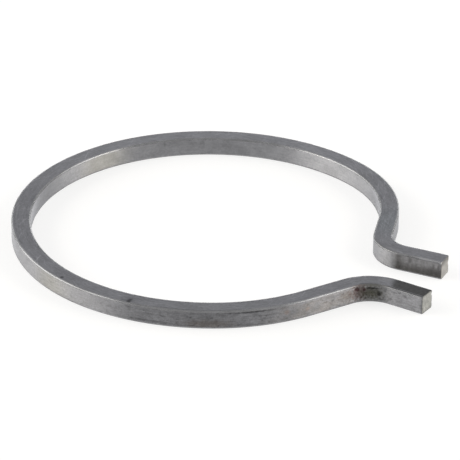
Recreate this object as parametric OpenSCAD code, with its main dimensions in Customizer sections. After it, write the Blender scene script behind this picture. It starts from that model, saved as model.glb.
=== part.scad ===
// Open retaining ring, bent from one length of flat-sided spring wire.
// It lies on its lower face, centred on the axis of its round part, with its gap towards +X.
// Each end tightens into a shoulder, runs straight, and swings outwards, as an S, into an ear.
// The two ends differ: one bends sharply into its ear, the other in a wider sweep.

/* [Ring] */
// Inside diameter of the round part, with the ring relaxed
inside_d = 76; // [68:1:88]

/* [Wire] */
// Width of the wire, across the ring
wire_w = 4; // [3:0.1:5]
// Height of the wire, along the axis of the ring
wire_h = 4; // [3:0.1:5]
// Radius of the long edges of the wire
edge_r = 0.3; // [0.2:0.05:1]

/* [Gap] */
// Clear gap between the ears, level with the outside of the ring
gap_w = 10; // [7:0.5:13]
// Angle by which each ear leans away from the middle of the gap
splay = 4; // [0:0.2:6]

/* [Tight end] */
// Where the round part ends, as an angle from the middle of the gap
tight_at = 68; // [62:1:74]
// Radius of the shoulder, along the middle of the wire
tight_shoulder_r = 30.5; // [26:0.5:36]
// Angle through which the shoulder turns
tight_shoulder_turn = 49; // [40:1:52]
// Inside radius of the bend into the ear
tight_bend_r = 4.8; // [3:0.1:6.5]
// Length of the straight ear past its bend
tight_ear = 9.5; // [6:0.1:15]

/* [Wide end] */
// Where the round part ends, as an angle from the middle of the gap
wide_at = 60; // [54:1:66]
// Radius of the shoulder, along the middle of the wire
wide_shoulder_r = 37; // [30:0.5:40]
// Angle through which the shoulder turns
wide_shoulder_turn = 31; // [24:1:36]
// Inside radius of the bend into the ear
wide_bend_r = 6.8; // [4:0.1:9]
// Length of the straight ear past its bend
wide_ear = 7.9; // [6:0.1:15]

/* [Hidden] */
$fn = 96;
EDGE_FN = 16;
// A curved run reaches this far into its neighbours, and is this much slimmer, so that they join as one body
LAP = 0.1;
SLIM = 0.01;
ring_r = inside_d / 2 + wire_w / 2;
outside_r = ring_r + wire_w / 2;

// Flat-sided wire section, standing on the lower face of the ring
module wire_section(slim = 0) {
    translate([0, wire_h / 2]) {
        square([wire_w - 2 * slim, wire_h - 2 * edge_r], center = true);
        square([wire_w - 2 * edge_r, wire_h - 2 * slim], center = true);
        for (x = [-1, 1], y = [-1, 1])
            translate([x * (wire_w / 2 - edge_r), y * (wire_h / 2 - edge_r)])
                circle(r = edge_r - slim, $fn = EDGE_FN);
    }
}

// Straight run that sets out from the origin along +X
module straight_run(length) {
    rotate([90, 0, 90])
        linear_extrude(length)
            wire_section();
}

// Curved run that sets out from the origin along +X, and turns left, or right if the turn is negative
module curved_run(r, turn) {
    side = sign(turn);
    lap_turn = LAP / r * 180 / PI;
    translate([0, side * r, 0])
        rotate_extrude(start = -side * (90 + lap_turn), angle = turn + 2 * side * lap_turn)
            translate([r, 0])
                wire_section(SLIM);
}

// Moves what follows to the far end of a curved run
module past_curve(r, turn) {
    side = sign(turn);
    translate([0, side * r, 0])
        rotate([0, 0, turn])
            translate([0, -side * r, 0])
                children();
}

// Length of the straight run that brings the inner face of an ear to its side of the gap
function flat_length(at, shoulder_r, flat_at, bend_mid) =
    ((ring_r - shoulder_r) * sin(at - splay) + (shoulder_r + bend_mid) * sin(flat_at - splay)
        + outside_r * sin(splay) - gap_w / 2 * cos(splay) - bend_mid - wire_w / 2) / cos(flat_at - splay);

// One end of the wire on the +Y side: shoulder, straight run, bend and ear
module wire_end(at, shoulder_r, shoulder_turn, bend_r, ear) {
    bend_mid = bend_r + wire_w / 2;
    flat_at = at - shoulder_turn;
    flat = flat_length(at, shoulder_r, flat_at, bend_mid);
    bend_turn = 90 + splay - flat_at;
    rotate([0, 0, at])
        translate([ring_r, 0, 0])
            rotate([0, 0, -90]) {
                curved_run(shoulder_r, -shoulder_turn);
                past_curve(shoulder_r, -shoulder_turn) {
                    straight_run(flat);
                    translate([flat, 0, 0]) {
                        curved_run(bend_mid, bend_turn);
                        past_curve(bend_mid, bend_turn)
                            straight_run(ear);
                    }
                }
            }
}

// Round part of the ring, from one shoulder to the other
module round_part() {
    rotate_extrude(start = tight_at, angle = 360 - tight_at - wide_at)
        translate([ring_r, 0])
            wire_section();
}

module retaining_ring() {
    color("dimgray") {
        round_part();
        wire_end(tight_at, tight_shoulder_r, tight_shoulder_turn, tight_bend_r, tight_ear);
        mirror([0, 1, 0])
            wire_end(wide_at, wide_shoulder_r, wide_shoulder_turn, wide_bend_r, wide_ear);
    }
}

retaining_ring();
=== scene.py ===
import math
import bmesh
import bpy
from mathutils import Matrix, Vector


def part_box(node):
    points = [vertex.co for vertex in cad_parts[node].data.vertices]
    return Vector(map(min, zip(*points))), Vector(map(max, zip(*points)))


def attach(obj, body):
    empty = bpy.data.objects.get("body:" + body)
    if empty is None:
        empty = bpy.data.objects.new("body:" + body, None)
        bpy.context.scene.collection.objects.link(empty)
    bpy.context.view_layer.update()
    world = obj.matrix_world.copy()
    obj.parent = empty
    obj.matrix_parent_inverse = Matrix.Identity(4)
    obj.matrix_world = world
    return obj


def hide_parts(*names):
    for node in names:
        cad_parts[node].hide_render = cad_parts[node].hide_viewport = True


# An open retaining ring, bent from one length of square spring wire.
# Sizes are in metres, apart from places along and round the wire and the marks there, which are in millimetres.
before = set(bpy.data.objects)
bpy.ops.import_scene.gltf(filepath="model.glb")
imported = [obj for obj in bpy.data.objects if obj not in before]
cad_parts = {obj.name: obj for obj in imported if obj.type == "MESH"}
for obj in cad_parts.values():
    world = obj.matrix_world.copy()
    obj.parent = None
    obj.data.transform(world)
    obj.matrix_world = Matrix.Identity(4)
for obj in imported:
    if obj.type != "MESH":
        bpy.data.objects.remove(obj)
bpy.ops.object.select_all(action="DESELECT")
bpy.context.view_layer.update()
low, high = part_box("retaining_ring")

MM = 0.001
OUTSIDE_R = -low[0]
WIRE_H = high[2] - low[2]
WIRE_W = 4 * MM
EDGE_R = 0.3 * MM
RING_R = OUTSIDE_R - WIRE_W / 2
GAP_W = 10 * MM
SPLAY = math.radians(4)

# Where the round part stops, counted from the middle of the gap
TIGHT_AT = math.radians(68)
WIDE_AT = math.radians(60)


# ---- The way the wire runs

def end_runs(round_ends_at, shoulder_r, shoulder_turn, bend_inside_r, ear):
    """One end of the wire as (length, radius) runs, from the round part out. A right turn has a radius below 0."""
    bend_r = bend_inside_r + WIRE_W / 2
    lean = round_ends_at - shoulder_turn - SPLAY
    reach = (RING_R - shoulder_r) * math.sin(round_ends_at - SPLAY) + (shoulder_r + bend_r) * math.sin(lean)
    reach += OUTSIDE_R * math.sin(SPLAY) - GAP_W / 2 * math.cos(SPLAY)
    flat = (reach - bend_r - WIRE_W / 2) / math.cos(lean)
    return [
        (shoulder_r * shoulder_turn, -shoulder_r),
        (flat, None),
        (bend_r * (math.pi / 2 - lean), bend_r),
        (ear, None),
    ]


def other_hand(runs):
    """The same runs, turning the other way."""
    return [(length, -radius if radius else None) for length, radius in runs]


def walk(runs, place, heading, step=0.25 * MM):
    """The points passed on a walk along the runs, with the last place and heading."""
    passed = []
    for length, radius in runs:
        count = max(2, round(length / step))
        stride = length / count
        turn = stride / radius if radius else 0
        chord = stride * math.sin(turn / 2) / (turn / 2) if turn else stride
        for _ in range(count):
            passed.append(place.copy())
            aim = heading + turn / 2
            place = place + chord * Vector((math.cos(aim), math.sin(aim), 0))
            heading += turn
    return passed, place, heading


tight_end = end_runs(TIGHT_AT, 30.5 * MM, math.radians(49), 4.8 * MM, 9.5 * MM)
wide_end = end_runs(WIDE_AT, 37 * MM, math.radians(31), 6.8 * MM, 7.9 * MM)
round_part = (RING_R * (2 * math.pi - TIGHT_AT - WIDE_AT), RING_R)

# From the tip of the tight ear, round the ring, to the tip of the wide ear
round_start = RING_R * Vector((math.cos(TIGHT_AT), math.sin(TIGHT_AT), 0))
_, tight_tip, tip_heading = walk(tight_end, round_start, TIGHT_AT - math.pi / 2)
whole_wire = other_hand(tight_end[::-1]) + [round_part] + other_hand(wide_end)
middle_line, wide_tip, _ = walk(whole_wire, tight_tip, tip_heading + math.pi)
middle_line.append(wide_tip)
WIRE_LENGTH = sum(length for length, _ in whole_wire)


# ---- The wire, first straight, then bent

# Cuts across each side and, in two goes, along the wire, and the faces along one side of each end
SIDE_CUTS = 11
LENGTH_CUTS = (99, 8)
END_SPAN = 16
END_ROUND = 0.15 * MM
TOUCHING = 1e-7


def pick(mesh, elements, wanted):
    """Selects the edges, faces or points that pass the test, and nothing else."""
    for face in mesh.faces:
        face.select_set(False)
    for edge in mesh.edges:
        edge.select_set(False)
    for point in mesh.verts:
        point.select_set(False)
    for element in elements:
        if wanted(element):
            element.select_set(True)


def runs_along(edge):
    a, b = (point.co for point in edge.verts)
    return abs(a.y - b.y) < TOUCHING and abs(a.z - b.z) < TOUCHING and abs(a.x - b.x) > MM / 10


def at_an_end(point):
    return point.co.x < TOUCHING or point.co.x > WIRE_LENGTH - TOUCHING


def spans_a_side(edge):
    a, b = (point.co for point in edge.verts)
    return not runs_along(edge) and (a - b).length > 2 * EDGE_R and abs(a.x - b.x) < TOUCHING


def straight_wire():
    """Square wire with rounded long edges and slightly rolled ends, in a fine even grid."""
    bpy.ops.mesh.primitive_cube_add(size=1, location=(WIRE_LENGTH / 2, 0, WIRE_H / 2))
    wire = bpy.context.object
    wire.name = "ring_wire"
    wire.scale = (WIRE_LENGTH, WIRE_W, WIRE_H)
    bpy.ops.object.transform_apply(location=True, rotation=False, scale=True)
    bpy.ops.object.mode_set(mode="EDIT")
    bpy.ops.mesh.select_mode(type="EDGE")
    mesh = bmesh.from_edit_mesh(wire.data)
    pick(mesh, mesh.edges, runs_along)
    bpy.ops.mesh.bevel(offset=EDGE_R, segments=4, affect="EDGES")
    mesh = bmesh.from_edit_mesh(wire.data)
    pick(mesh, mesh.edges, lambda edge: all(at_an_end(point) for point in edge.verts))
    bpy.ops.mesh.bevel(offset=END_ROUND, segments=2, affect="EDGES")
    mesh = bmesh.from_edit_mesh(wire.data)
    pick(mesh, mesh.edges, spans_a_side)
    bpy.ops.mesh.subdivide(number_cuts=SIDE_CUTS)
    for cuts in LENGTH_CUTS:
        mesh = bmesh.from_edit_mesh(wire.data)
        pick(mesh, mesh.edges, runs_along)
        bpy.ops.mesh.subdivide(number_cuts=cuts)
    # Each end face becomes a grid as fine as the sides
    for x in (0, WIRE_LENGTH):
        bpy.ops.mesh.select_mode(type="FACE")
        mesh = bmesh.from_edit_mesh(wire.data)
        pick(mesh, mesh.faces, lambda face: all(abs(point.co.x - x) < TOUCHING for point in face.verts))
        bpy.ops.mesh.delete(type="ONLY_FACE")
        bpy.ops.mesh.select_mode(type="VERT")
        mesh = bmesh.from_edit_mesh(wire.data)
        pick(mesh, mesh.edges, lambda edge: all(abs(point.co.x - x) < TOUCHING for point in edge.verts))
        corner = max((point for point in mesh.verts if point.select), key=lambda point: point.co.y + point.co.z)
        mesh.select_history.clear()
        mesh.select_history.add(corner)
        bpy.ops.mesh.fill_grid(span=END_SPAN)
    bpy.ops.object.mode_set(mode="OBJECT")
    return wire


# Places round the section, in millimetres: up the outer wall, over the top, down the inner wall, and back below
HIGH = WIRE_H / MM
WIDE = WIRE_W / MM
OUTER_TOP = HIGH
INNER_TOP = HIGH + WIDE
INNER_FOOT = 2 * HIGH + WIDE
OUTER_FOOT = 2 * HIGH + 2 * WIDE
CORNER = EDGE_R / MM
# A point this near a wall counts as lying on it
NEAR_WALL = 0.05


def place_round(y, z):
    """How far round the section a point of the straight wire lies, in millimetres."""
    across = WIDE / 2 + y / MM
    up = z / MM
    inner = across > WIDE / 2
    out = max(0, across - (WIDE - CORNER) if inner else CORNER - across)
    if up > HIGH - CORNER and out > 0:
        lean = math.atan2(up - (HIGH - CORNER), out) / (math.pi / 2)
        return INNER_TOP + CORNER * (1 - 2 * lean) if inner else OUTER_TOP - CORNER * (1 - 2 * lean)
    if up < CORNER and out > 0:
        lean = math.atan2(CORNER - up, out) / (math.pi / 2)
        return INNER_FOOT - CORNER * (1 - 2 * lean) if inner else CORNER * (1 - 2 * lean) % OUTER_FOOT
    if out > CORNER - NEAR_WALL:
        return INNER_FOOT - up if inner else up
    return OUTER_TOP + across if up > HIGH / 2 else INNER_FOOT + WIDE - across


# The end faces are mapped away from the rest, the tight ear's about this place and the wide ear's about twice it
END_MAPS = -20
# A face belongs to an end where its normal points along the wire by more than this
END_NORMAL = 0.9


def lay_map(wire):
    """A map in millimetres that follows the wire: the way along it in U, the way round its section in V."""
    mesh = wire.data
    layer = mesh.uv_layers.new(name="along_wire")
    for face in mesh.polygons:
        places = [mesh.vertices[i].co for i in face.vertices]
        if abs(face.normal.x) > END_NORMAL:
            shift = END_MAPS if places[0].x < WIRE_LENGTH / 2 else 2 * END_MAPS
            for loop, place in zip(face.loop_indices, places):
                layer.data[loop].uv = (shift + place.y / MM, place.z / MM)
            continue
        rounds = [place_round(place.y, place.z) for place in places]
        if max(rounds) - min(rounds) > OUTER_FOOT / 2:
            rounds = [r + OUTER_FOOT if r < OUTER_FOOT / 2 else r for r in rounds]
        for loop, place, r in zip(face.loop_indices, places, rounds):
            layer.data[loop].uv = (place.x / MM, r)


def bend(wire):
    """Bends the straight wire along the ring's middle line."""
    line = bpy.data.curves.new("middle_line", "CURVE")
    line.dimensions = "3D"
    line.twist_mode = "Z_UP"
    spline = line.splines.new("POLY")
    spline.points.add(len(middle_line) - 1)
    for point, place in zip(spline.points, middle_line):
        point.co = (*place, 1)
    former = bpy.data.objects.new("middle_line", line)
    bpy.context.collection.objects.link(former)
    bending = wire.modifiers.new("bending", "CURVE")
    bending.object = former
    bending.deform_axis = "POS_X"
    bpy.ops.object.modifier_apply(modifier=bending.name)
    bpy.data.objects.remove(former)


def dent(wire, along, across, up, depth, size):
    """Presses a soft dent into the straight wire. Place, depth as (x, y, z) and size are in millimetres."""
    spot = Vector((along, across, up)) * MM
    mesh = bmesh.from_edit_mesh(wire.data)
    nearest = min(mesh.verts, key=lambda point: (point.co - spot).length_squared)
    pick(mesh, [nearest], lambda point: True)
    bpy.ops.transform.translate(
        value=Vector(depth) * MM,
        use_proportional_edit=True,
        proportional_edit_falloff="SMOOTH",
        proportional_size=size * MM,
    )


wire = straight_wire()
lay_map(wire)
LENGTH = WIRE_LENGTH / MM
bpy.ops.object.mode_set(mode="EDIT")
bpy.ops.mesh.select_mode(type="VERT")
# The nick and the small dent in the upper face's outer half
dent(wire, 197.0, -1.6, 4.0, (0, 0, -0.10), 0.6)
dent(wire, 196.6, -1.2, 4.0, (0, 0, -0.06), 0.7)
dent(wire, 180.2, -1.1, 4.0, (0, 0, -0.05), 0.6)
# The sheared end of the tight ear: its upper corners are rolled over, and its far side is wavy
dent(wire, 0, 2, 4.0, (0.1, -0.1, -0.2), 0.9)
dent(wire, 0, 0.4, 4.0, (0.06, 0, -0.12), 1.3)
dent(wire, 0, -1.4, 4.0, (0.04, 0, -0.06), 1.0)
dent(wire, 0, -2, 2.4, (0.05, 0.22, 0), 0.8)
dent(wire, 0, -2, 1.1, (0, 0.1, 0), 0.5)
dent(wire, 0, 2, 1.6, (0, -0.06, 0), 0.9)
# The sheared end of the wide ear, with a nick on its right hand side
dent(wire, LENGTH, 2, 3.1, (-0.06, -0.16, 0), 0.5)
dent(wire, LENGTH, 2, 1.2, (0, -0.07, 0), 0.7)
dent(wire, LENGTH, -2, 0.3, (0, -0.06, 0), 0.6)
bpy.ops.object.mode_set(mode="OBJECT")

unevenness = bpy.data.textures.new("unevenness", "CLOUDS")
unevenness.noise_scale = 1.6 * MM
unevenness.noise_depth = 2
uneven = wire.modifiers.new("uneven", "DISPLACE")
uneven.texture = unevenness
uneven.texture_coords = "LOCAL"
uneven.strength = 0.035 * MM
bpy.ops.object.modifier_apply(modifier=uneven.name)
bend(wire)
bpy.ops.object.shade_smooth_by_angle(angle=math.radians(40))


# ---- Steel

# Noise lies mostly within this much of its middle
NOISE_MIDDLE = 0.5
NOISE_SWING = 0.2
QUARTER_TURN = 0.25
# The two colours that go into a Mix node, and the one that comes out. Several of its sockets share their names.
MIX_UNDER, MIX_OVER, MIX_RESULT = 6, 7, 2


class Finish:
    """A steel surface under construction. Its patterns lie on the map that follows the wire.

    Places along the wire start with 0 at the tip of the tight ear, and end with LENGTH at the tip of the wide ear.
    """

    def __init__(self, name):
        self.material = bpy.data.materials.new(name)
        self.material.use_nodes = True
        self.tree = self.material.node_tree
        self.shader = self.tree.nodes["Principled BSDF"]
        self.shader.inputs["Metallic"].default_value = 1
        self.at = self.node("UVMap", uv_map="along_wire").outputs["UV"]
        ways = self.node("SeparateXYZ")
        self.feed(ways.inputs[0], self.at)
        self.along = ways.outputs["X"]
        self.round = ways.outputs["Y"]
        self.rag = self.noise(1.6, detail=3, seed=7)

    def node(self, kind, **settings):
        made = self.tree.nodes.new("ShaderNode" + kind)
        for name, value in settings.items():
            setattr(made, name, value)
        return made

    def feed(self, socket, value):
        if isinstance(value, bpy.types.NodeSocket):
            self.tree.links.new(value, socket)
        else:
            socket.default_value = value

    def reckon(self, operation, a, b=0.0):
        made = self.node("Math", operation=operation)
        self.feed(made.inputs[0], a)
        self.feed(made.inputs[1], b)
        return made.outputs[0]

    def plus(self, a, b):
        return self.reckon("ADD", a, b)

    def minus(self, a, b):
        return self.reckon("SUBTRACT", a, b)

    def apart(self, a, b):
        """How far two values lie apart."""
        return self.reckon("ABSOLUTE", self.minus(a, b))

    def times(self, *factors):
        product = factors[0]
        for factor in factors[1:]:
            product = self.reckon("MULTIPLY", product, factor)
        return product

    def either(self, *masks):
        """The strongest of the masks at each place."""
        strongest = masks[0]
        for mask in masks[1:]:
            strongest = self.reckon("MAXIMUM", strongest, mask)
        return strongest

    def noise(self, per_mm, detail=2.0, stretch=(1, 1), seed=0, turn=0.0):
        """Even noise with about per_mm waves in a millimetre, drawn out by the stretch along and round."""
        laid = self.node("Mapping")
        self.feed(laid.inputs["Vector"], self.at)
        laid.inputs["Location"].default_value = (seed * 3.7, seed * 5.3, seed)
        laid.inputs["Rotation"].default_value = (0, 0, math.radians(turn))
        drawn_out = self.node("Mapping")
        self.feed(drawn_out.inputs["Vector"], laid.outputs[0])
        drawn_out.inputs["Scale"].default_value = (per_mm / stretch[0], per_mm / stretch[1], 1)
        made = self.node("TexNoise")
        self.feed(made.inputs["Vector"], drawn_out.outputs[0])
        made.inputs["Scale"].default_value = 1
        made.inputs["Detail"].default_value = detail
        return made.outputs["Fac"]

    def fade(self, value, start, end, low=0.0, high=1.0):
        """Runs from low at the start to high at the end, smoothly."""
        made = self.node("MapRange", interpolation_type="SMOOTHSTEP")
        self.feed(made.inputs["Value"], value)
        made.inputs["From Min"].default_value = start
        made.inputs["From Max"].default_value = end
        made.inputs["To Min"].default_value = low
        made.inputs["To Max"].default_value = high
        return made.outputs["Result"]

    def ragged(self, value, depth=1.6):
        """The value shifted to and fro, so that a fade over it gets a ragged rim."""
        return self.plus(value, self.times(self.minus(self.rag, NOISE_MIDDLE), depth))

    def spot(self, along, round_, length, width, rag=1.2, soft=0.5):
        """A mark of this length and width, 1 in its middle and 0 outside, with a ragged rim."""
        off = self.node("VectorMath", operation="SUBTRACT")
        self.feed(off.inputs[0], self.at)
        off.inputs[1].default_value = (along, round_, 0)
        scaled = self.node("VectorMath", operation="MULTIPLY")
        self.feed(scaled.inputs[0], off.outputs[0])
        scaled.inputs[1].default_value = (2 / length, 2 / width, 0)
        far = self.node("VectorMath", operation="LENGTH")
        self.feed(far.inputs[0], scaled.outputs[0])
        return self.fade(self.ragged(far.outputs["Value"], rag), 1 + soft, 1 - soft)

    def spots(self, *places):
        """One mask for several spots, each given as spot takes it."""
        return self.either(*[self.spot(*place) for place in places])

    def stretch(self, start, end, soft=2.0):
        """1 along this stretch of the wire, and 0 away from it."""
        return self.times(
            self.fade(self.along, start - soft, start + soft),
            self.fade(self.along, end + soft, end - soft),
        )

    def band(self, start, end, soft=0.15):
        """1 in this band round the section, and 0 away from it."""
        return self.times(
            self.fade(self.round, start - soft, start + soft),
            self.fade(self.round, end + soft, end - soft),
        )

    def tone(self, value, depth):
        """A factor about 1 from noise: at a depth of 0.1, mostly within 10 % of 1."""
        gain = depth / NOISE_SWING
        return self.plus(1 - gain * NOISE_MIDDLE, self.times(value, gain))

    def partly(self, factor, mask):
        """The factor where the mask is 1, and 1 where it is 0."""
        return self.plus(1.0, self.times(self.minus(factor, 1.0), mask))

    def painted_light_and_marks(self, where, *stretches):
        """A factor with its own value on each (start, end, softness, value) stretch, and 1 elsewhere: painted light
        and shade along the wire, and stains and other darker stretches.
        """
        return self.times(*[
            self.partly(value, self.times(where, self.stretch(start, end, soft)))
            for start, end, soft, value in stretches
        ])

    def darker(self, mask, to):
        """A factor that falls from 1 to this where the mask is 1."""
        return self.minus(1.0, self.times(mask, 1 - to))

    def lighter(self, mask, by):
        """A factor that rises from 1 by this much where the mask is 1."""
        return self.plus(1.0, self.times(mask, by))

    def tinted(self, under, mask, colour):
        made = self.node("Mix", data_type="RGBA", clamp_factor=True)
        self.feed(made.inputs["Factor"], mask)
        self.feed(made.inputs[MIX_UNDER], under)
        self.feed(made.inputs[MIX_OVER], colour)
        return made.outputs[MIX_RESULT]

    def shaded(self, colour, *factors):
        made = self.node("VectorMath", operation="SCALE")
        self.feed(made.inputs[0], colour)
        self.feed(made.inputs["Scale"], self.times(*factors))
        return made.outputs[0]

    def relief(self, height, depth_mm):
        made = self.node("Bump")
        self.feed(made.inputs["Height"], height)
        made.inputs["Distance"].default_value = depth_mm * MM
        self.feed(self.shader.inputs["Normal"], made.outputs[0])

    def gloss_across(self, strength):
        """Fine lines along the wire spread its gloss across them."""
        lines = self.node("Tangent", direction_type="UV_MAP", uv_map="along_wire")
        self.feed(self.shader.inputs["Tangent"], lines.outputs[0])
        self.shader.inputs["Anisotropic"].default_value = strength
        self.shader.inputs["Anisotropic Rotation"].default_value = QUARTER_TURN

    def finished(self, colour, roughness):
        self.feed(self.shader.inputs["Base Color"], colour)
        self.feed(self.shader.inputs["Roughness"], roughness)
        return self.material


BARE_WALL = (0.294, 0.294, 0.306, 1)
# The walls' colour where the warm reflection of the lamps is painted
WALL_WITH_WARM_REFLECTION = (0.2995, 0.295, 0.284, 1)
ROLLED_SKIN = (0.183, 0.184, 0.196, 1)
BLUISH_SKIN = (0.178, 0.185, 0.197, 1)
EDGE_STEEL_GREY = (0.192, 0.192, 0.197)
SHEARED_GREY = (0.365, 0.36, 0.335)
SHEARED_WARM_GREY = (0.40, 0.37, 0.345)
SCUFFED = (0.4, 0.4, 0.4, 1)
SCORCHED = (0.073, 0.073, 0.073)
WARM_DUST = (0.30, 0.26, 0.22, 1)
FINGERED_GREY = (0.20, 0.18, 0.155, 1)
EARTH = (0.13, 0.095, 0.06, 1)
ORANGE_RUST = (0.30, 0.17, 0.10, 1)
STAIN_HAZE = (0.15, 0.145, 0.125, 1)
RUST_BROWN = (0.12, 0.062, 0.055, 1)
RUST_SPOT = (0.045, 0.022, 0.022, 1)
OLIVE_SOOT = (0.062, 0.060, 0.045, 1)
BLACK_SOOT = (0.020, 0.019, 0.017, 1)


def stained(f, colour):
    """The stain in the hollow of the wide bend, on its outer wall: brown spots, an olive patch and a black core."""
    haze = f.spot(249.0, 2.4, 8.4, 4.0, 1.8, 0.8)
    rusty = f.spot(245.5, 2.5, 3.8, 3.2, 2.8, 0.8)
    olive = f.spot(248.9, 2.0, 5.6, 2.3, 1.9, 0.7)
    rust_spots = f.spots((245.2, 3.1, 1.4, 1.0), (247.2, 2.8, 1.0, 0.8))
    core = f.spots((251.1, 2.0, 1.1, 1.2), (249.2, 3.15, 3.0, 0.5))
    colour = f.tinted(colour, f.times(haze, 0.48), STAIN_HAZE)
    colour = f.tinted(colour, f.times(rusty, 0.48), RUST_BROWN)
    colour = f.tinted(colour, f.times(olive, 0.80), OLIVE_SOOT)
    colour = f.tinted(colour, f.times(rust_spots, 0.85), RUST_SPOT)
    return f.tinted(colour, f.times(core, 0.8), BLACK_SOOT)


def drawn_walls():
    """The inner and outer walls: drawn smooth, with fine lines along the wire, grimy at the front, and with painted
    light and shade in stretches.
    """
    f = Finish("drawn_steel")
    f.gloss_across(0.95)
    outer = f.fade(f.round, OUTER_TOP + 0.3, OUTER_TOP - 0.3)
    inner = f.fade(f.round, INNER_TOP - 0.3, INNER_TOP + 0.3)
    lines = f.noise(4.0, 2, stretch=(40, 1), seed=1)
    clouds = f.noise(0.30, 3, stretch=(1.4, 1), seed=2)
    grain = f.noise(1.9, 3, stretch=(1.2, 1), seed=3)
    fine = f.noise(3.4, 2, seed=10)

    # The outer wall is aged from the left round the front to the wide ear, and most worn at the front
    aged = f.times(f.stretch(174, 262, 6), outer)
    worn = f.times(f.stretch(196, 262, 12), outer)
    grime = f.times(worn, f.fade(f.noise(1.2, 4, stretch=(1.8, 1), seed=5), 0.44, 0.66))
    streaks = f.times(worn, f.fade(f.noise(2.6, 2, stretch=(14, 1), seed=8), 0.5, 0.68))
    specks = f.fade(f.noise(1.3, 3, stretch=(1.6, 1), seed=4), 0.56, 0.72)
    pits = f.times(specks, f.plus(0.15, f.plus(f.times(aged, 0.4), f.times(worn, 0.45))))

    # The side of the tight ear that faces the gap is darker low down, partly soot and partly painted shade where
    # the other ear and the floor hem it in; painted shade also darkens the corner where its bend starts and the
    # inner wall of that bend, painted light lifts its upper part, and it is smudged
    gap_face = f.times(f.fade(f.ragged(f.along), 11.0, 9.5), inner)
    corner_painted_shade = f.times(f.fade(f.ragged(f.along), 12.4, 10.0), f.fade(f.along, 9.0, 10.2), inner)
    bend_painted_shade = f.times(f.fade(f.along, 20, 17), inner)
    shade = f.times(gap_face, f.fade(f.ragged(f.round), INNER_TOP + 1.1, INNER_TOP + 2.9))
    foot_shade_and_soot = f.times(gap_face, f.spots((1.6, 10.9, 4.2, 2.2, 2.0), (5.2, 11.6, 11.0, 1.7, 1.8)))
    painted_light_patch = f.times(gap_face, f.spot(3.0, 8.8, 7.0, 1.8, 1.6, 0.8))
    smudges = f.spots((9.5, 9.8, 1.1, 4.4, 1.6), (7.0, 9.0, 0.7, 1.1), (0.7, 9.4, 0.5, 1.2), (1.8, 9.4, 0.5, 1.0))

    # Single marks
    dark_lines = f.either(f.spot(221.5, 3.42, 9.0, 0.42, 1.8), f.times(f.spot(202, 0.8, 9.0, 0.4, 1.4), 0.4))
    # Painted shade just under the top edge of the inner wall, on the far side
    painted_shade_under_edge = f.spots((84, 9.3, 13, 2.2, 1.6, 0.9), (95, 8.8, 10, 1.2, 1.6, 0.9))
    flaws = f.either(
        f.times(f.spots((90.0, 9.0, 1.2, 1.0, 1.2, 0.8), (98.7, 8.9, 0.5, 0.9)), 0.4),
        f.spots((257.7, 3.0, 1.0, 0.6), (256.4, 3.3, 0.8, 0.4)),
    )

    # Painted warm reflection: the walls take a warm tint where the lamps' highlights fall on them
    painted_warm_reflection = f.either(f.times(f.stretch(174, 181, 4), outer), f.times(f.stretch(109, 120, 4), inner))
    colour = f.shaded(
        f.tinted(BARE_WALL, painted_warm_reflection, WALL_WITH_WARM_REFLECTION),
        f.darker(outer, 0.86),
        # Along the walls: a painted highlight on the outer wall from 224 to 244, painted shade then painted light
        # on the inner wall from 86 to 147, and other outer stretches simply darker
        f.painted_light_and_marks(outer, (14, 34, 4, 0.87), (141, 154, 3, 0.88), (183, 203, 4, 0.93)),
        f.painted_light_and_marks(outer, (207, 217.5, 5, 0.80), (224, 244, 4, 1.13)),
        f.painted_light_and_marks(inner, (86, 122, 6, 0.95), (131, 147, 5, 1.10)),
        f.darker(grime, 0.81),
        f.darker(streaks, 0.82),
        f.darker(pits, 0.60),
        # Painted shade under the inner wall's top edge
        f.darker(painted_shade_under_edge, 0.92),
        f.darker(flaws, 0.62),
        # Painted shade on the tight ear's bend and low on its gap side, partly soot there, and painted light on the
        # gap side's upper part
        f.darker(corner_painted_shade, 0.66),
        f.darker(bend_painted_shade, 0.88),
        f.lighter(painted_light_patch, 0.22),
        f.darker(shade, 0.50),
        f.darker(f.times(smudges, gap_face), 0.66),
        f.darker(foot_shade_and_soot, 0.66),
        f.darker(dark_lines, 0.42),
    )
    dusty = f.times(f.stretch(226, 246, 4), outer, f.fade(f.noise(0.5, 3, stretch=(2, 1), seed=9), 0.35, 0.65))
    earth = f.spots((213, 1.1, 8.0, 1.6, 2.4, 0.8), (242.4, 2.2, 3.6, 2.4, 2.4, 0.8))
    rust = f.spots((228.6, 2.2, 1.0, 0.9, 1.2, 0.8), (233.0, 1.9, 0.8, 0.8, 1.2, 0.8))
    colour = f.tinted(colour, f.times(dusty, 0.3), WARM_DUST)
    colour = f.tinted(colour, f.times(earth, 0.32), EARTH)
    colour = f.tinted(colour, f.times(rust, 0.25), ORANGE_RUST)
    colour = f.tinted(colour, f.times(gap_face, 0.22), FINGERED_GREY)

    wiped = f.tone(f.noise(1.5, 3, stretch=(1, 3.5), seed=17), 0.13)
    colour = f.shaded(
        stained(f, colour),
        f.tone(lines, 0.06),
        f.tone(clouds, 0.07),
        f.tone(grain, 0.09),
        f.partly(f.tone(fine, 0.14), f.plus(0.4, f.times(aged, 0.6))),
        f.partly(f.tone(grain, 0.3), f.times(f.stretch(243, 252, 2), outer)),
        f.partly(wiped, f.times(f.fade(f.along, 17, 9), inner)),
    )
    f.relief(f.minus(f.plus(f.times(lines, 0.3), f.times(grain, 0.5)), pits), 0.025)
    return f.finished(colour, f.fade(f.noise(0.5, 3, seed=6), 0.3, 0.7, 0.46, 0.56))


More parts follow.
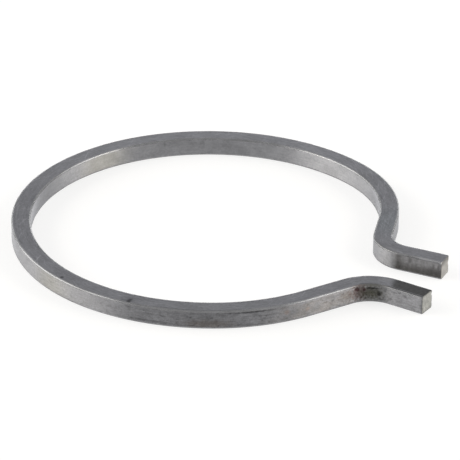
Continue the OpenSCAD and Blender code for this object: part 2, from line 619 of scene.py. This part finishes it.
def rolled_faces():
    """The upper and lower faces: darker and matt, with a fine even grain and a few scratches."""
    f = Finish("rolled_steel")
    # The rolled skin takes the glare off at low angles
    f.shader.inputs["Specular Tint"].default_value = (0.4, 0.4, 0.4, 1)
    clouds = f.noise(0.22, 3, stretch=(1.5, 1), seed=11)
    grain = f.noise(1.7, 3, seed=12)
    fine = f.noise(3.6, 2, stretch=(3, 1), seed=13)
    lines = f.noise(3.0, 2, stretch=(12, 1), seed=16)
    scratches = f.either(
        f.fade(f.noise(4.0, 0, stretch=(24, 1), seed=14, turn=24), 0.68, 0.78),
        f.fade(f.noise(4.0, 0, stretch=(20, 1), seed=15, turn=-38), 0.69, 0.79),
    )
    slanted = f.plus(f.along, f.times(f.minus(f.round, 5.5), 0.9))
    long_scratch = f.times(f.fade(f.apart(slanted, 170.5), 0.24, 0.08), f.spot(170.4, 5.5, 3.0, 2.4))
    nicks = f.spots((197.0, 4.95, 0.9, 1.8, 1.4, 0.7), (180.2, 4.95, 0.7, 0.9, 1.0))
    smears = f.spots((196.6, 5.2, 2.8, 2.4, 2.0, 0.8), (178.4, 6.3, 3.6, 1.6, 1.6, 0.9))
    edge_line = f.times(f.stretch(202, 219, 2), f.band(OUTER_TOP + 0.35, OUTER_TOP + 0.55, 0.15))
    bend_line = f.times(f.stretch(246, 251, 1), f.band(OUTER_TOP + 0.3, OUTER_TOP + 0.75, 0.2))
    colour = f.shaded(
        f.tinted(ROLLED_SKIN, f.stretch(19, 29, 4), BLUISH_SKIN),
        # Lighter from 53 to 130 along the wire, and a little lighter from 171 to 180
        f.painted_light_and_marks(1.0, (53, 130, 10, 1.14), (171, 180, 4, 1.05)),
        f.tone(clouds, 0.06),
        f.tone(grain, 0.085),
        f.tone(fine, 0.10),
        f.tone(lines, 0.14),
        f.lighter(scratches, 0.3),
        f.lighter(long_scratch, 0.4),
        f.darker(nicks, 0.45),
        f.darker(smears, 0.82),
        f.darker(edge_line, 0.6),
        f.darker(bend_line, 0.7),
    )
    scuffs = f.spots(
        (147.4, 6.2, 0.7, 0.9), (47.5, 5.4, 0.9, 0.6), (252.0, 6.6, 2.4, 1.6, 1.8), (11.6, 7.0, 2.6, 0.7, 1.6)
    )
    colour = f.tinted(colour, f.times(scuffs, 0.14), SCUFFED)
    # The upper face of the wide ear is nearly black, from a slanting ragged line to its tip
    rim = f.plus(f.along, f.times(f.minus(f.round, 6), 0.30))
    ear = f.fade(f.ragged(rim), 253.0, 254.6)
    scorched = f.times(ear, f.fade(f.round, 11.5, 9), f.fade(f.round, 4.2, 4.7))
    colour = f.tinted(colour, f.times(scorched, 0.94), f.shaded(SCORCHED, f.tone(grain, 0.2)))
    f.relief(f.plus(f.times(grain, 0.6), f.times(fine, 0.35)), 0.02)
    return f.finished(colour, f.fade(clouds, 0.3, 0.7, 0.28, 0.34))


def edges_with_painted_highlights():
    """The long edges: painted highlights where the lamps catch them, a painted reflection of the white floor along
    their feet, and darker in other places.
    """
    f = Finish("edge_steel_with_painted_highlights")
    broken = f.noise(0.8, 4, stretch=(2.5, 1), seed=21)
    chips = f.fade(f.noise(1.8, 2, stretch=(1.5, 1), seed=22), 0.60, 0.74)
    top_outer = f.band(OUTER_TOP - 0.4, OUTER_TOP + 0.4, 0.05)
    top_inner = f.band(INNER_TOP - 0.4, INNER_TOP + 0.4, 0.05)
    # Painted reflection of the white floor along the lower edges
    feet_floor_reflection = f.either(f.band(INNER_FOOT - 0.5, INNER_FOOT + 0.1, 0.1), f.band(-1, 0.5, 0.1))
    ear_top = f.times(f.stretch(253, 270, 1.5), f.band(OUTER_TOP + 0.02, 11.5, 0.08))
    # Painted highlights where the side lamps catch the upper edges
    inner_painted_highlight = f.times(f.either(f.stretch(50, 69, 4), f.stretch(109, 122, 4)), f.band(7.5, 8.5))
    outer_painted_highlight = f.times(f.either(f.stretch(165, 182, 5), f.stretch(229, 243, 3)), top_outer)
    colour = f.shaded(
        EDGE_STEEL_GREY,
        f.lighter(feet_floor_reflection, 0.8),
        f.lighter(f.plus(inner_painted_highlight, outer_painted_highlight), 0.42),
        f.tone(broken, 0.14),
        f.darker(chips, 0.75),
        # The upper outer edge is a little darker at the front and darkened by the stain at the wide bend; a painted
        # highlight lifts the upper inner edge at the tight ear's tip; three stretches are darker; painted
        # highlights lift the edges from 189 to 195 and from 222 to 226
        f.painted_light_and_marks(top_outer, (199, 226, 3, 0.97), (246, 252, 1.5, 0.6)),
        f.painted_light_and_marks(top_inner, (-5, 5.5, 2, 1.3)),
        f.painted_light_and_marks(1.0, (10, 43, 2.5, 0.82), (12, 27, 2, 0.92), (140, 154, 3, 0.74)),
        f.painted_light_and_marks(1.0, (189, 195, 3, 1.2), (222, 226, 3, 1.12)),
        f.darker(ear_top, 0.4),
    )
    f.relief(f.minus(broken, f.times(chips, 0.4)), 0.015)
    return f.finished(stained(f, colour), f.fade(broken, 0.3, 0.7, 0.20, 0.32))


def sheared_ends():
    """The cut ends: torn downwards by the shear, light, with a dark rim."""
    f = Finish("sheared_steel")
    torn = f.noise(2.2, 3, stretch=(1, 6), seed=31)
    patches = f.noise(0.9, 3, seed=32)
    grain = f.noise(3.0, 2, seed=33)
    # Each end is mapped about a middle of its own
    tight = f.fade(f.along, 1.5 * END_MAPS - 1, 1.5 * END_MAPS + 1)
    aside = f.apart(f.along, f.plus(2 * END_MAPS, f.times(tight, -END_MAPS)))
    above = f.apart(f.round, HIGH / 2)
    rim = f.fade(f.plus(f.either(aside, above), f.times(f.rag, 0.4)), HIGH / 2 - 0.15, HIGH / 2 + 0.15)
    rolled = f.times(tight, f.fade(f.plus(f.round, f.times(f.rag, 0.8)), 2.9, 4.1))
    wide_colour = f.shaded(
        SHEARED_GREY,
        f.tone(torn, 0.16),
        f.tone(patches, 0.18),
        f.tone(grain, 0.18),
        f.darker(rim, 0.40),
        f.darker(rolled, 0.55),
    )
    tight_colour = f.shaded(SHEARED_WARM_GREY, f.tone(patches, 0.12), f.darker(rolled, 0.5))
    f.relief(f.plus(f.times(torn, 0.8), f.times(patches, 0.6)), 0.05)
    colour = f.tinted(wide_colour, f.times(tight, 0.5), tight_colour)
    return f.finished(colour, f.fade(patches, 0.3, 0.7, 0.38, 0.5))


# The places of the four finishes in the wire's list of materials
WALLS, FACES, EDGES, ENDS = range(4)
for steel in (drawn_walls(), rolled_faces(), edges_with_painted_highlights(), sheared_ends()):
    wire.data.materials.append(steel)
placed = wire.data.uv_layers["along_wire"].data
for face in wire.data.polygons:
    spots = [placed[i].uv for i in face.loop_indices]
    middle = sum(spot.y for spot in spots) / len(spots)
    from_corner = min(abs(middle - corner) for corner in (0, OUTER_TOP, INNER_TOP, INNER_FOOT, OUTER_FOOT))
    if spots[0].x < END_MAPS / 2:
        face.material_index = ENDS
    elif from_corner < CORNER:
        face.material_index = EDGES
    elif OUTER_TOP < middle < INNER_TOP or middle > INNER_FOOT:
        face.material_index = FACES
    else:
        face.material_index = WALLS

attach(wire, "root")
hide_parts("retaining_ring")


# ---- Floor, room and lamps

def seen_directly(tree):
    """1 for what the camera sees, also in metal or glass, and 0 for the light on the rest."""
    path = tree.nodes.new("ShaderNodeLightPath")
    seen = path.outputs["Is Camera Ray"]
    for name in ("Is Glossy Ray", "Is Transmission Ray"):
        either = tree.nodes.new("ShaderNodeMath")
        either.operation = "MAXIMUM"
        tree.links.new(seen, either.inputs[0])
        tree.links.new(path.outputs[name], either.inputs[1])
        seen = either.outputs[0]
    return seen


def level(tree, low_level, high_level):
    """The low level for light, the high one for what is seen."""
    made = tree.nodes.new("ShaderNodeMapRange")
    tree.links.new(seen_directly(tree), made.inputs["Value"])
    made.inputs["To Min"].default_value = low_level
    made.inputs["To Max"].default_value = high_level
    return made.outputs["Result"]


FLOOR_SIZE = 8
FLOOR_Z = -0.02 * MM
FLOOR_GREY = (0.34, 0.34, 0.34, 1)
FLOOR_GLOW = 0.69
ROOM_LIGHT = 0.5
WHITE = (1, 1, 1, 1)

bpy.ops.mesh.primitive_plane_add(size=FLOOR_SIZE, location=(0, 0, FLOOR_Z))
floor = bpy.context.object
floor.name = "floor"
pale = bpy.data.materials.new("pale_floor")
pale.use_nodes = True
pale_shader = pale.node_tree.nodes["Principled BSDF"]
pale_shader.inputs["Base Color"].default_value = FLOOR_GREY
pale_shader.inputs["Roughness"].default_value = 1
pale_shader.inputs["Specular IOR Level"].default_value = 0
pale_shader.inputs["Emission Color"].default_value = WHITE
pale.node_tree.links.new(level(pale.node_tree, 0, FLOOR_GLOW), pale_shader.inputs["Emission Strength"])
floor.data.materials.append(pale)

world = bpy.context.scene.world or bpy.data.worlds.new("studio")
bpy.context.scene.world = world
world.use_nodes = True
backdrop = world.node_tree.nodes["Background"]
backdrop.inputs["Color"].default_value = WHITE
world.node_tree.links.new(level(world.node_tree, ROOM_LIGHT, 1.0), backdrop.inputs["Strength"])

# The camera stands as the photograph was taken: on the side of the wide ear, and well above the ring
VIEW_AZIMUTH = math.radians(29.154)
VIEW_ELEVATION = math.radians(27.177)
VIEW_ROLL = math.radians(0.436)
VIEW_DISTANCE = 805.48 * MM
VIEW_LENS = 298.49
AIM_RIGHT = 4.066 * MM
AIM_UP = 0.789 * MM


def direction(azimuth, elevation):
    """From the ring's axis, with the azimuth counted from straight in front of the gap's right hand side, -Y."""
    flat = math.cos(elevation)
    return Vector((math.sin(azimuth) * flat, -math.cos(azimuth) * flat, math.sin(elevation)))


def softbox(name, azimuth, elevation, distance, width, height, brightness, colour):
    """A soft lamp that faces the ring. Its azimuth is counted from the camera's side, to the right, in degrees."""
    lamp = bpy.data.lights.new(name, "AREA")
    lamp.shape = "RECTANGLE"
    lamp.size = width
    lamp.size_y = height
    lamp.energy = brightness * math.pi * width * height
    lamp.color = colour
    holder = bpy.data.objects.new(name, lamp)
    bpy.context.collection.objects.link(holder)
    towards = direction(VIEW_AZIMUTH + math.radians(azimuth), math.radians(elevation))
    holder.location = towards * distance
    holder.rotation_euler = towards.to_track_quat("Z", "Y").to_euler()


NEUTRAL = (1, 0.98, 0.94)
WARM = (1, 0.93, 0.79)
COOL = (0.97, 0.985, 1)
softbox("left_softbox", -91, 18, 0.8, 1.2, 0.48, 3.3, NEUTRAL)
softbox("right_softbox", 85, 18, 0.8, 0.8, 0.48, 2.85, NEUTRAL)
softbox("left_high_softbox", -92, 38, 0.8, 0.4, 0.2, 3.6, WARM)
softbox("right_high_softbox", 86, 38, 0.8, 0.4, 0.2, 3.6, WARM)
softbox("left_back_softbox", -151, 8, 0.9, 0.75, 0.22, 3.4, COOL)
softbox("right_back_softbox", 160, 8, 0.9, 0.7, 0.22, 3.5, COOL)

back = direction(VIEW_AZIMUTH, VIEW_ELEVATION)
level_right = Vector((math.cos(VIEW_AZIMUTH), math.sin(VIEW_AZIMUTH), 0))
level_up = back.cross(level_right)
right = level_right * math.cos(VIEW_ROLL) + level_up * math.sin(VIEW_ROLL)
up = level_up * math.cos(VIEW_ROLL) - level_right * math.sin(VIEW_ROLL)
lens = bpy.data.cameras.new("camera")
lens.lens = VIEW_LENS
lens.sensor_width = 36
lens.clip_start = 0.01
camera = bpy.data.objects.new("camera", lens)
bpy.context.collection.objects.link(camera)
camera.location = back * VIEW_DISTANCE
look = (right * AIM_RIGHT + up * AIM_UP - camera.location).normalized()
side = look.cross(up).normalized()
camera.rotation_euler = Matrix((side, side.cross(look), -look)).transposed().to_euler()
bpy.context.scene.camera = camera

bpy.context.scene.view_settings.view_transform = "Standard"
